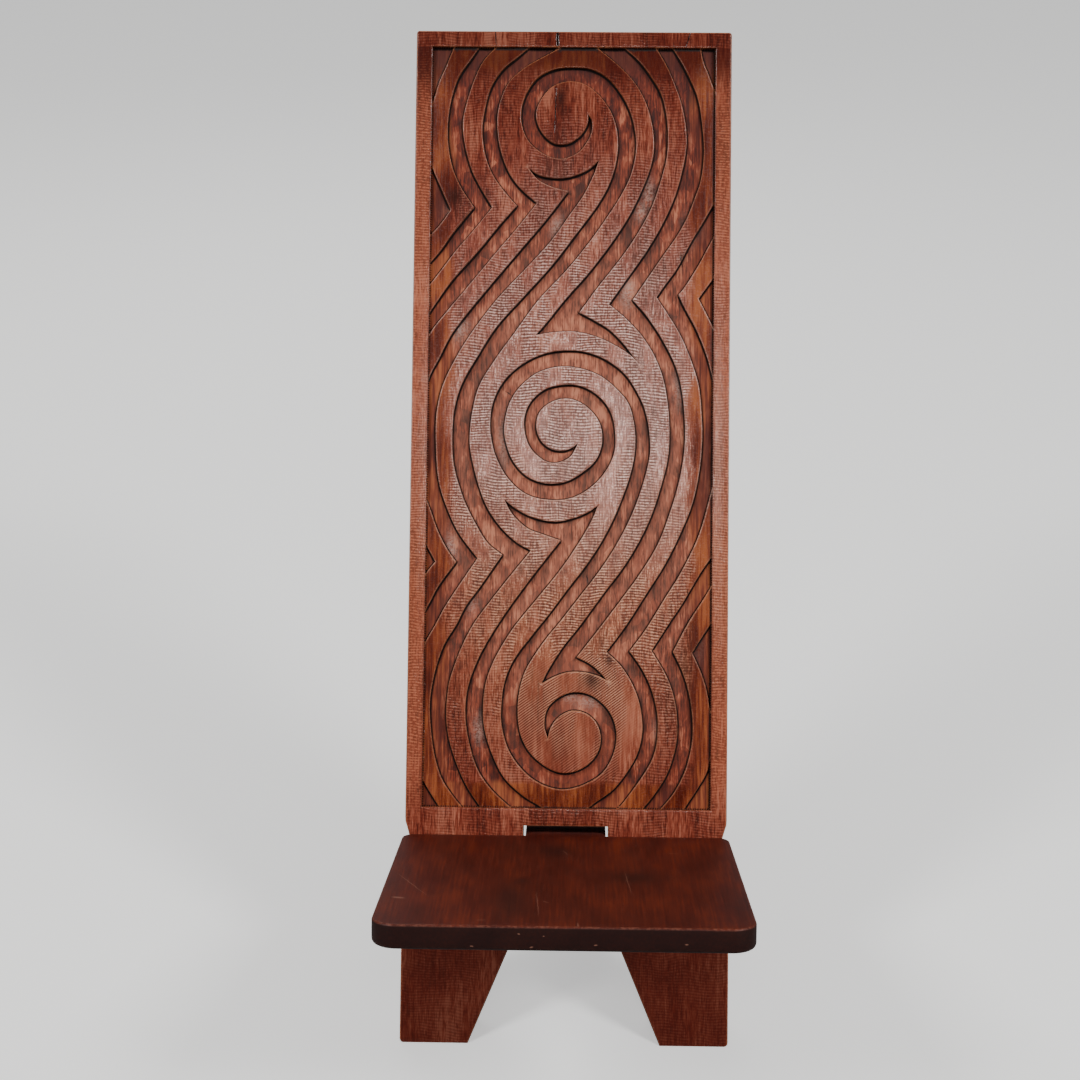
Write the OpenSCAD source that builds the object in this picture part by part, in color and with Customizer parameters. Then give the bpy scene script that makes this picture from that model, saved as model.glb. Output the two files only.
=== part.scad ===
// Two-plank chair. A tall leaning back plank stands on two feet, and a
// seat plank slides through a slot in it until its shoulders meet the back.
// X runs across, -Y is the front, Z is up, and the origin is on the floor
// under the middle of the chair.

/* [Back plank] */
// Width of the plank above the waist
back_w = 340; // [320:1:352]
// Width across the two feet
feet_w = 345; // [330:1:360]
// Length of the front face, from the floor to the top end
back_len = 1081; // [1070:1:1150]
// Thickness of the plank
back_t = 36; // [30:1:42]
// Angle between the back and upright, degrees
lean = 28.8; // [26:0.1:30]
// Radius of the two top corners
top_corner_r = 3; // [1:0.5:10]

/* [Waist and feet] */
// Height of the top of the waist, measured along the plank
waist_top = 236; // [230:1:242]
// Height of the bottom of the waist, measured along the plank
waist_bottom = 102; // [95:1:112]
// How far each side curves in at the waist
waist_depth = 12; // [6:1:16]
// Width of the arch between the feet at the floor
arch_w = 202; // [180:2:220]
// Width of the arch where its sides would meet its top
arch_top_w = 94; // [80:2:110]
// Height of the arch, measured along the plank
arch_h = 128; // [110:1:135]
// Radius of the arch's two top corners
arch_corner_r = 14; // [6:1:20]

/* [Carved panel] */
// Width of the plain border at each side of the carving
border_w = 17; // [14:1:22]
// Width of the plain border above the carving
border_top = 17; // [14:1:22]
// Height of the carving's lower edge, measured along the plank
panel_bottom = 247; // [245:1:255]
// Drop of the carved field where it meets the border
rim_drop = 3.5; // [2:0.5:5]
// Width of the slope from the border up to the level field
rim_w = 26; // [16:1:34]
// Depth of the carved grooves
groove_d = 5; // [4:0.5:7]

/* [Seat plank] */
// Angle at which the seat rises towards the front, degrees
seat_slope = 19; // [18:0.1:20]
// Depth of the seat, from the back plank to the front edge
seat_depth = 305; // [270:1:330]
// Width of the seat where it meets the back plank
seat_back_w = 344; // [320:1:350]
// Width of the seat near its front edge
seat_front_w = 352; // [330:1:370]
// Thickness of the seat plank
seat_t = 24; // [20:1:26]
// Height of the seat's top surface on the front of the back plank
seat_line = 219; // [216:1:222]
// Radius of the seat's front corners, seen from above
front_corner_r = 24; // [15:1:35]
// Radius of the seat's rear corners, seen from above
rear_corner_r = 13; // [6:1:18]

/* [Tongue and slot] */
// Width of the tongue that passes through the slot
tongue_w = 85; // [76:1:88]
// Gap at each side of the tongue
side_gap = 2.5; // [1:0.5:4]
// Gap under the tongue at the slot's front edge
under_gap = 0.4; // [0.3:0.1:1]
// Gap over the tongue at the slot's rear edge
over_gap = 3.6; // [1:0.2:5]
// Gap between the seat's shoulders and the back plank
shoulder_gap = 0.3; // [0.3:0.1:1]
// Length of the flat on which the tail rests on the floor
tail_sole = 24; // [20:1:40]

/* [Hidden] */
past = 1;

// The seat crosses the slot at this angle off square
cross = lean - seat_slope;
slot_w = tongue_w + 2 * side_gap;
slot_bottom = seat_line - seat_t / cos(cross) - under_gap;
slot_top = seat_line + back_t * tan(cross) + over_gap;

// Where the seat's top surface meets the front of the back plank
seat_y = seat_line * sin(lean);
seat_z = seat_line * cos(lean);

// Distance from there to where the tail's underside reaches the floor
tail_floor = (seat_z - seat_t * cos(seat_slope)) / sin(seat_slope);
tail_len = tail_floor + tail_sole * cos(seat_slope);

// The origin lies midway between the foremost and the rearmost points
front_y = seat_y - seat_depth * cos(seat_slope) - seat_t * sin(seat_slope);
rear_y = seat_y + tail_len * cos(seat_slope);
mid_y = (front_y + rear_y) / 2;

panel_w = back_w - 2 * border_w;
panel_top = back_len - border_top;

// Size of the panel on which the points of the carving below are laid out
drawn_w = 306;
drawn_h = 817;
// Straight steps between one point of a carved curve and the next
curve_steps = 2;

// A groove is a list of edges and each edge is a smooth curve through its
// points: X from the middle, and height above the carving's lower edge

// Scroll round the upper whorl, down the left side and out at the bottom
top_scroll = [
    [[16, 744], [15, 733], [8, 721], [-5, 712], [-20, 712], [-33, 723], [-40, 740], [-37, 756],
     [-25, 772], [-9, 779], [8, 778], [23, 769], [36, 754], [44, 738], [48, 719], [47, 696],
     [40, 670], [26, 644], [2, 611], [-22, 579], [-52, 545], [-80, 513], [-100, 481],
     [-116, 452], [-124, 425], [-126, 396], [-124, 364], [-114, 330], [-101, 303], [-87, 281],
     [-71, 268]],
    [[-71, 268], [-94, 234], [-109, 213], [-119, 193], [-131, 173], [-139, 151], [-144, 128],
     [-146, 108], [-145, 88], [-141, 58], [-133, 32], [-121, 13], [-108, -3]],
    [[-108, -3], [-88, -3]],
    [[-88, -3], [-104, 20], [-116, 45], [-125, 73], [-128, 98], [-126, 128], [-120, 150],
     [-112, 171], [-101, 193], [-87, 213], [-64, 243], [-40, 273]],
    [[-40, 273], [-56, 282], [-73, 298], [-87, 318], [-97, 343], [-105, 374], [-107, 396],
     [-104, 424], [-97, 450], [-81, 477], [-60, 507], [-35, 542], [-5, 575], [18, 604],
     [38, 633], [55, 661], [64, 683], [68, 708], [66, 730], [60, 750], [50, 768], [36, 784],
     [19, 793], [0, 795], [-20, 793], [-38, 784], [-50, 768], [-56, 749], [-55, 730],
     [-47, 713], [-31, 700], [-13, 695], [4, 701], [14, 712], [20, 725], [20, 737], [16, 744]]
];

// Scroll from the middle whorl down to the lower whorl
long_scroll = [
    [[-20, 73], [-24, 88], [-21, 105], [-9, 117], [7, 123], [25, 120], [41, 108], [50, 93],
     [53, 75], [49, 56], [39, 39], [24, 28], [5, 21], [-13, 21], [-33, 29], [-50, 44],
     [-62, 62], [-69, 85], [-70, 105], [-67, 132], [-57, 157], [-38, 183], [-20, 206],
     [-1, 232], [15, 253], [31, 277], [45, 303], [55, 327], [64, 353], [69, 378], [69, 403],
     [63, 429], [50, 446], [31, 461], [8, 469], [-14, 470], [-36, 463], [-54, 448], [-65, 430],
     [-70, 407], [-68, 388], [-60, 368], [-45, 352], [-25, 345], [-4, 347], [15, 358],
     [28, 371], [34, 388], [33, 405], [26, 419], [12, 431], [-4, 436], [-20, 432], [-32, 422],
     [-36, 407], [-31, 391], [-20, 382], [-7, 380], [3, 384], [9, 389]],
    [[9, 389], [6, 382], [0, 373], [-13, 367], [-27, 369], [-41, 381], [-48, 397], [-49, 416],
     [-42, 433], [-27, 446], [-8, 451], [10, 450], [28, 441], [42, 425], [48, 405], [48, 380],
     [39, 359], [24, 342], [4, 330], [-20, 327], [-46, 333], [-66, 350], [-79, 373],
     [-85, 397], [-85, 421], [-79, 442], [-66, 461], [-47, 476], [-26, 485], [-4, 488],
     [18, 486], [40, 477], [60, 461], [76, 435], [83, 413], [86, 389], [85, 372], [80, 350],
     [72, 325], [62, 301], [48, 275], [31, 249], [12, 224], [-7, 199], [-26, 175], [-44, 146],
     [-51, 121], [-52, 98], [-49, 78], [-40, 60], [-25, 46], [-8, 38], [8, 39], [23, 47],
     [33, 60], [36, 75], [31, 91], [19, 101], [4, 103], [-9, 96], [-17, 85], [-20, 73]]
];

// Groove from the top, right of the upper whorl, over the middle whorl
inner_right = [
    [[20, 821], [42, 803], [62, 783], [75, 763], [83, 741], [87, 716], [85, 693], [76, 666],
     [61, 634], [42, 604], [19, 573], [-6, 544], [-24, 521], [-38, 504]],
    [[-38, 504], [-20, 507], [4, 508], [29, 502], [52, 491], [65, 482], [74, 472]],
    [[74, 472], [67, 482], [57, 495], [42, 510], [26, 520], [9, 529]],
    [[9, 529], [29, 557], [52, 587], [70, 614], [85, 643], [95, 673], [101, 698], [102, 723],
     [100, 744], [95, 765], [85, 783], [70, 803], [50, 821]]
];

// Groove from the top, right of the upper two whorls, over the lower whorl
outer_right = [
    [[86, 821], [93, 810], [102, 793], [110, 774], [117, 753], [121, 731], [122, 711],
     [118, 685], [109, 653], [95, 622], [78, 593], [58, 564], [40, 538]],
    [[40, 538], [57, 524], [75, 505], [88, 485], [98, 461], [104, 431], [106, 398], [104, 370],
     [96, 338], [86, 308], [72, 279], [56, 253], [38, 229], [13, 194], [-5, 171], [-20, 147],
     [-28, 131]],
    [[-28, 131], [-14, 139], [1, 144], [18, 144], [33, 140], [43, 135]],
    [[43, 135], [35, 144], [24, 153], [10, 160]],
    [[10, 160], [33, 190], [56, 221], [76, 249], [95, 281], [108, 316], [117, 348], [122, 378],
     [123, 405], [120, 441], [113, 470], [100, 497], [83, 523], [66, 543]],
    [[66, 543], [80, 564], [96, 588], [113, 613], [124, 634], [132, 655], [138, 674],
     [141, 703], [139, 733], [134, 762], [125, 784], [114, 805], [104, 821]]
];

// Groove down the right side, with two points
right_chevrons = [
    [[156, 654], [150, 645], [140, 627], [127, 605], [113, 578], [99, 558], [91, 546]],
    [[91, 546], [103, 528], [117, 505], [129, 477], [137, 451], [140, 423], [141, 393],
     [138, 358], [131, 325], [119, 294], [103, 261], [84, 230], [62, 195], [41, 166]],
    [[41, 166], [56, 152], [69, 132], [77, 110], [80, 85], [76, 62], [66, 42], [50, 21],
     [30, 6], [18, -3]],
    [[18, -3], [52, -3]],
    [[52, -3], [63, 10], [82, 37], [92, 56], [96, 75], [96, 100], [90, 125], [80, 147],
     [66, 167]],
    [[66, 167], [84, 192], [102, 222], [118, 248], [134, 280], [143, 305], [150, 332],
     [156, 353]],
    [[156, 353], [156, 443]],
    [[156, 443], [150, 468], [144, 488], [134, 512], [122, 534], [115, 549]],
    [[115, 549], [122, 558], [136, 581], [147, 602], [156, 619]]
];

// Groove round the lower whorl on the right
lower_right = [
    [[156, 273], [149, 264], [139, 249], [121, 218], [106, 195], [89, 168]],
    [[89, 168], [105, 141], [114, 115], [117, 88], [115, 65], [107, 39], [94, 17], [78, -3]],
    [[78, -3], [96, -3]],
    [[96, -3], [104, 5], [116, 21], [127, 45], [133, 73], [133, 98], [129, 124], [122, 146],
     [112, 167]],
    [[112, 167], [127, 196], [142, 220], [156, 243]]
];

// Groove left of the upper whorl
inner_left = [
    [[-44, 821], [-60, 807], [-77, 792], [-89, 773], [-95, 751], [-98, 727], [-95, 701],
     [-87, 679], [-74, 660], [-60, 644]],
    [[-60, 644], [-78, 623], [-102, 593], [-128, 563], [-145, 539], [-156, 522]],
    [[-156, 522], [-156, 497]],
    [[-156, 497], [-147, 512], [-134, 528], [-107, 561], [-82, 592], [-58, 621], [-38, 647]],
    [[-38, 647], [-57, 664], [-70, 683], [-79, 709], [-82, 735], [-79, 757], [-70, 778],
     [-52, 795], [-29, 809], [-8, 821]]
];

// Groove nearest the left border at the top
outer_left = [
    [[-100, 821], [-111, 804], [-124, 784], [-131, 763], [-135, 739], [-135, 713], [-130, 686],
     [-120, 663], [-106, 642]],
    [[-106, 642], [-128, 614], [-142, 594], [-156, 578]],
    [[-156, 578], [-156, 553]],
    [[-156, 553], [-143, 570], [-125, 594], [-105, 618], [-86, 642]],
    [[-86, 642], [-97, 660], [-108, 681], [-116, 708], [-119, 733], [-115, 756], [-106, 784],
     [-96, 804], [-80, 821]]
];

// Groove from under the upper whorl to the left border, with a point below
left_chevron = [
    [[-49, 686], [-35, 677], [-15, 674], [2, 677], [17, 684], [28, 694]],
    [[28, 694], [23, 679], [12, 656], [-3, 634], [-24, 604], [-50, 575], [-80, 542],
     [-108, 504], [-126, 473], [-137, 448], [-143, 418], [-143, 383], [-140, 349], [-132, 322],
     [-118, 292], [-97, 264]],
    [[-97, 264], [-117, 234], [-131, 212], [-141, 193], [-150, 177], [-156, 165]],
    [[-156, 165], [-156, 201]],
    [[-156, 201], [-147, 218], [-138, 235], [-120, 260]],
    [[-120, 260], [-130, 274], [-140, 293], [-149, 317], [-156, 333]],
    [[-156, 333], [-156, 445]],
    [[-156, 445], [-150, 462], [-141, 479], [-129, 503], [-111, 528], [-86, 559], [-58, 593],
     [-29, 628], [-5, 660]],
    [[-5, 660], [-21, 664], [-37, 672], [-49, 686]]
];

// Groove from under the middle whorl round the lower whorl
lower_left = [
    [[-70, 328], [-56, 317], [-37, 308], [-15, 304], [4, 308], [19, 314], [31, 322]],
    [[31, 322], [24, 305], [11, 282], [-9, 252], [-36, 218], [-56, 193], [-70, 171],
     [-80, 151], [-87, 129], [-89, 103], [-87, 82], [-79, 57], [-66, 32], [-47, 14], [-29, 3],
     [-18, -3]],
    [[-18, -3], [-54, -3]],
    [[-54, -3], [-62, 3], [-81, 21], [-95, 42], [-104, 70], [-108, 98], [-106, 125],
     [-97, 153], [-82, 182], [-60, 216], [-33, 253], [-9, 284]],
    [[-9, 284], [-27, 290], [-45, 297], [-61, 312], [-70, 328]]
];

// Pockets at the sides and in the corners, where the pattern runs out
pockets = [
    [[[-156, 698], [-150, 682], [-139, 657], [-131, 639]],
     [[-131, 639], [-143, 622], [-156, 608]],
     [[-156, 608], [-156, 698]]],
    [[[-156, 285], [-148, 271], [-142, 260]],
     [[-142, 260], [-148, 253], [-156, 241]],
     [[-156, 241], [-156, 285]]],
    [[[156, 575], [150, 565], [136, 545]],
     [[136, 545], [148, 522], [156, 505]],
     [[156, 505], [156, 575]]],
    [[[156, 204], [150, 195], [138, 176], [132, 166]],
     [[132, 166], [140, 149], [147, 129], [151, 108], [156, 98]],
     [[156, 98], [156, 204]]],
    [[[-128, 821], [-136, 800], [-145, 779], [-150, 762], [-156, 743]],
     [[-156, 743], [-156, 821]],
     [[-156, 821], [-128, 821]]],
    [[[136, 821], [139, 804], [145, 789], [151, 773], [156, 761]],
     [[156, 761], [156, 821]],
     [[156, 821], [136, 821]]],
    [[[-156, 37], [-150, 25], [-140, 9], [-132, -3]],
     [[-132, -3], [-156, -3]],
     [[-156, -3], [-156, 37]]],
    [[[156, 63], [151, 51], [148, 39], [139, 23], [126, 3], [122, -3]],
     [[122, -3], [156, -3]],
     [[156, -3], [156, 63]]]
];

grooves = [
    top_scroll, long_scroll, inner_right, outer_right, right_chevrons,
    lower_right, inner_left, outer_left, left_chevron, lower_left
];

// Points along an arc
function arc(x, y, r, from, to, steps = 6) =
    [for (i = [0:steps]) let (a = from + (to - from) * i / steps) [x + r * cos(a), y + r * sin(a)]];

// One coordinate of the curve from b to c, with a and d the points on either side
function blend(a, b, c, d, t) =
    b + ((c - a) + ((2 * a - 5 * b + 4 * c - d) + (3 * b - a - 3 * c + d) * t) * t) * t / 2;

// Points along a smooth curve, without its last point
function curve(p) =
    let (last = len(p) - 1, q = concat([2 * p[0] - p[1]], p, [2 * p[last] - p[last - 1]]))
    [for (i = [0:last - 1]) for (k = [0:curve_steps - 1])
        blend(q[i], q[i + 1], q[i + 2], q[i + 3], k / curve_steps)];

// Places a child drawn on the front face: X across, Y up the plank, Z outward
module on_back() {
    translate([0, -mid_y, 0])
        rotate([90 - lean, 0, 0])
            children();
}

// Places a child drawn on the seat: X across, Y forward, Z down into the plank
module on_seat() {
    translate([0, seat_y - mid_y, seat_z])
        rotate([180 - seat_slope, 0, 0])
            children();
}

// Runs a profile drawn in Y and Z across the plank, centred
module across(width) {
    translate([-width / 2, 0, 0])
        rotate([90, 0, 90])
            linear_extrude(width)
                children();
}

// Everything below the floor
module under_floor() {
    translate([-feet_w, -2 * back_len, -back_len])
        cube([2 * feet_w, 4 * back_len, back_len]);
}

module back_plank() {
    color("sienna")
        difference() {
            on_back()
                difference() {
                    back_blank();
                    for (side = [-1, 1]) waist_cut(side);
                    arch_cut();
                    slot_cut();
                    rim_cuts();
                    carving();
                }
            under_floor();
        }
}

// The sawn plank, a little wider at the feet than above the waist
module back_blank() {
    half = back_w / 2;
    foot = feet_w / 2;
    r = top_corner_r;
    translate([0, 0, -back_t])
        linear_extrude(back_t)
            polygon(concat(
                [[-foot, 0], [foot, 0], [foot, waist_bottom], [half, waist_top]],
                arc(half - r, back_len - r, r, 0, 90),
                arc(r - half, back_len - r, r, 90, 180),
                [[-half, waist_top], [-foot, waist_bottom]]
            ));
}

// A round scallop in one side, between the foot and the carved panel
module waist_cut(side) {
    chord = (waist_top - waist_bottom) / 2;
    r = (chord * chord + waist_depth * waist_depth) / (2 * waist_depth);
    edge = (back_w + feet_w) / 4;
    translate([side * (edge - waist_depth + r), waist_bottom + chord, -back_t - past])
        cylinder(h = back_t + 2 * past, r = r, $fn = 180);
}

// The tapering arch that leaves two feet
module arch_cut() {
    half = arch_w / 2;
    r = arch_corner_r;
    flare = atan((half - arch_top_w / 2) / arch_h);
    // Centre of the corner arc, which touches the sloping side and the top
    y = arch_h - r;
    x = half - r / cos(flare) - y * tan(flare);
    foot = half + past * tan(flare);
    translate([0, 0, -back_t - past])
        linear_extrude(back_t + 2 * past)
            polygon(concat(
                [[-foot, -past], [foot, -past]],
                arc(x, y, r, flare, 90),
                arc(-x, y, r, 90, 180 - flare)
            ));
}

// The slot, cut square through the plank
module slot_cut() {
    translate([-slot_w / 2, slot_bottom, -back_t - past])
        cube([slot_w, slot_top - slot_bottom, back_t + 2 * past]);
}

// Four slopes that sink the edges of the carved field below the border
module rim_cuts() {
    half = panel_w / 2;
    height = panel_top - panel_bottom;
    for (side = [-1, 1])
        translate([0, panel_top, 0])
            rotate([90, 0, 0])
                linear_extrude(height)
                    rim_slope(side * half, -side);
    across(panel_w) rim_slope(panel_bottom, 1);
    across(panel_w) rim_slope(panel_top, -1);
}

// Profile of one slope, deepest at the border and level after rim_w
module rim_slope(edge, dir) {
    polygon([
        [edge, past],
        [edge, -rim_drop],
        [edge + dir * rim_w, 0],
        [edge + dir * rim_w, past]
    ]);
}

// All grooves, cut off at the edge of the panel
module carving() {
    translate([0, 0, -groove_d])
        linear_extrude(groove_d + past)
            intersection() {
                translate([-panel_w / 2, panel_bottom])
                    square([panel_w, panel_top - panel_bottom]);
                union()
                    for (edges = concat(grooves, pockets)) groove(edges);
            }
}

// Outline of one groove, fitted from the drawn panel to the real one
module groove(edges) {
    grow = [panel_w / drawn_w, (panel_top - panel_bottom) / drawn_h];
    polygon([for (e = edges) for (p = curve(e)) [p[0] * grow[0], panel_bottom + p[1] * grow[1]]]);
}

module seat_plank() {
    color("saddlebrown")
        difference() {
            on_seat() {
                seat_board();
                tail();
            }
            under_floor();
        }
}

// The wide seat, with its shoulders bevelled to lie along the back plank
module seat_board() {
    rear = seat_back_w / 2;
    front = seat_front_w / 2;
    r1 = rear_corner_r;
    r2 = front_corner_r;
    difference() {
        linear_extrude(seat_t)
            polygon(concat(
                arc(rear - r1, r1, r1, -90, 0),
                arc(front - r2, seat_depth - r2, r2, 0, 90),
                arc(r2 - front, seat_depth - r2, r2, 90, 180),
                arc(r1 - rear, r1, r1, 180, 270)
            ));
        across(seat_back_w)
            polygon([
                [-past, -past],
                [shoulder_gap - past * tan(cross), -past],
                [shoulder_gap + (seat_t + past) * tan(cross), seat_t + past],
                [-past, seat_t + past]
            ]);
    }
}

// The tongue and the tail behind it, one straight bar down to the floor
module tail() {
    translate([-tongue_w / 2, -tail_len, 0])
        cube([tongue_w, tail_len + rear_corner_r, seat_t]);
}

back_plank();
seat_plank();
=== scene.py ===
"""Two-plank chair with a carved back, dressed on its CAD frame.

Each plank is one closed board: a top sheet, a bottom sheet, and a wall that
carries the outline along a rounded edge profile. The carving is relief on the
back's top sheet, a depth worked out from the distance to the nearest groove
edge. A board is laid out flat in millimetres, as x, y and depth below its top
face, and is leaned and put in its place in metres when its mesh is made.
"""

import bpy
import numpy as np
from mathutils import Matrix, Vector
from mathutils.geometry import delaunay_2d_cdt


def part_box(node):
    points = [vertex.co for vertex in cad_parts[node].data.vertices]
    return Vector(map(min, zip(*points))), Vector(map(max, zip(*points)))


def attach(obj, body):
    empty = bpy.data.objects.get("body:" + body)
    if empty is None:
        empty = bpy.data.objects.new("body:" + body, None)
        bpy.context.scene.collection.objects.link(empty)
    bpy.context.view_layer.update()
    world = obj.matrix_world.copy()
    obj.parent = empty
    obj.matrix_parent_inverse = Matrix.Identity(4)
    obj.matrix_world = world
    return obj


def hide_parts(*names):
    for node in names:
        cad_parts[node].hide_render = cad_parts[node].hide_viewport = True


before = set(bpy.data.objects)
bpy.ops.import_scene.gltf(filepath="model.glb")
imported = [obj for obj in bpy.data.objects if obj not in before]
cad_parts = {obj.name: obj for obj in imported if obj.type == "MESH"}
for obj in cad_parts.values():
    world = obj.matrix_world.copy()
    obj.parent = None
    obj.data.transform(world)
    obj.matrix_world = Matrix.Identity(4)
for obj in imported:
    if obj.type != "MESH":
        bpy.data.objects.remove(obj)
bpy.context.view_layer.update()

# sizes, mm

MM = 0.001
LEAN = np.radians(28.8)
SLOPE = np.radians(19.0)
CROSS = LEAN - SLOPE

back_low, back_high = (np.array(corner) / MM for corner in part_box("back_plank"))
seat_low, seat_high = (np.array(corner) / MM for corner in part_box("seat_plank"))

# Back plank. Height runs up its front face from the floor
FOOT_Y = back_low[1]
BACK_LEN = back_high[2] / np.cos(LEAN)
FEET_W = back_high[0] - back_low[0]
BACK_W = 340
BACK_T = 36
TOP_CORNER_R = 3
FOOT_CORNER_R = 4
WAIST_BOTTOM, WAIST_TOP, WAIST_DEPTH = 102, 236, 12
ARCH_W, ARCH_TOP_W, ARCH_H, ARCH_R = 202, 94, 128, 14
FLARE = np.arctan((ARCH_W - ARCH_TOP_W) / 2 / ARCH_H)
FLOOR_CUT_H = 60

# Carved panel, sunk inside a plain border, with a rim that slopes down to it
BORDER = 17
PANEL_X = BACK_W / 2 - BORDER
PANEL_BOTTOM = 247
PANEL_TOP = BACK_LEN - BORDER
RIM_DROP, RIM_W, RIM_CURVE = 3.5, 28, 1.2
GROOVE_D, GROOVE_LEAST = 4.7, 1.7
BOWL_D, BOWL_W = 0.7, 9
GOUGE_D = 0.13
# Each cut edge is a slight round, a steep wall and a foot, by distance from it
WALL = (-0.6, 0.0, 0.4, 1.0)
WALL_DROP = (0.0, 0.1, 0.72, 1.0)
# Pale wear of a cut edge, partly a painted highlight, by distance from it
ARRIS = (-1.4, -0.6, 0.0, 0.4)
ARRIS_WEAR_AND_HIGHLIGHT = (0.0, 0.45, 1.0, 0.0)

# Seat plank. Its y runs back from where its top meets the back's front face
SEAT_LINE = 219
SEAT_Y = FOOT_Y + SEAT_LINE * np.sin(LEAN)
SEAT_Z = SEAT_LINE * np.cos(LEAN)
SEAT_T = 24
SEAT_DEPTH = (SEAT_Y - seat_low[1] - SEAT_T * np.sin(SLOPE)) / np.cos(SLOPE)
SEAT_FRONT_W = seat_high[0] - seat_low[0]
SEAT_BACK_W = 344
FRONT_R, REAR_R = 24, 13
TONGUE_W = 85
TAIL_LEN = (seat_high[1] - SEAT_Y) / np.cos(SLOPE)
SHOULDER_GAP, SHOULDER_REACH = 0.3, 12
# Wear of its edges, by depth below the top
SEAT_WEAR_AT = (0, 0.3, 1.0, 2.2, 19, 22, 24)
SEAT_WEAR = (0.1, 1, 0.7, 0, 0, 0.15, 0)

# Slot through the back plank
SIDE_GAP, UNDER_GAP, OVER_GAP = 2.5, 0.4, 3.6
SLOT_X = TONGUE_W / 2 + SIDE_GAP
SLOT_BOTTOM = SEAT_LINE - SEAT_T / np.cos(CROSS) - UNDER_GAP
SLOT_TOP = SEAT_LINE + BACK_T * np.tan(CROSS) + OVER_GAP

# Rounding of the edges on the front or top side, and on the far side
BACK_EDGES, SLOT_EDGES, SEAT_EDGES = (1.6, 2.6), (0.8, 1.5), (2.4, 5.0)

# Spacing of the mesh's points along each kind of edge
FLANK_STEP, EDGE_STEP, CORNER_STEP, GROOVE_STEP, RIM_STEP = 5, 4, 1.5, 2.0, 2.5
# Spacing of its points on each face, and how far they keep from its edges
PANEL_STEP, PLAIN_STEP, REAR_STEP, SEAT_TOP_STEP, SEAT_UNDER_STEP = 3.2, 7, 12, 9, 14
PANEL_CLEAR, PLAIN_CLEAR, REAR_CLEAR = 3.6, 4, 5
# Distances from a cut edge at which the mesh has a row of points
STEPS = (-1.4, WALL[0], WALL[2], WALL[3], 1.8, 2.7)
# Distance from an edge past which it no longer shapes the wood
REACH = 16

# carved pattern

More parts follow.
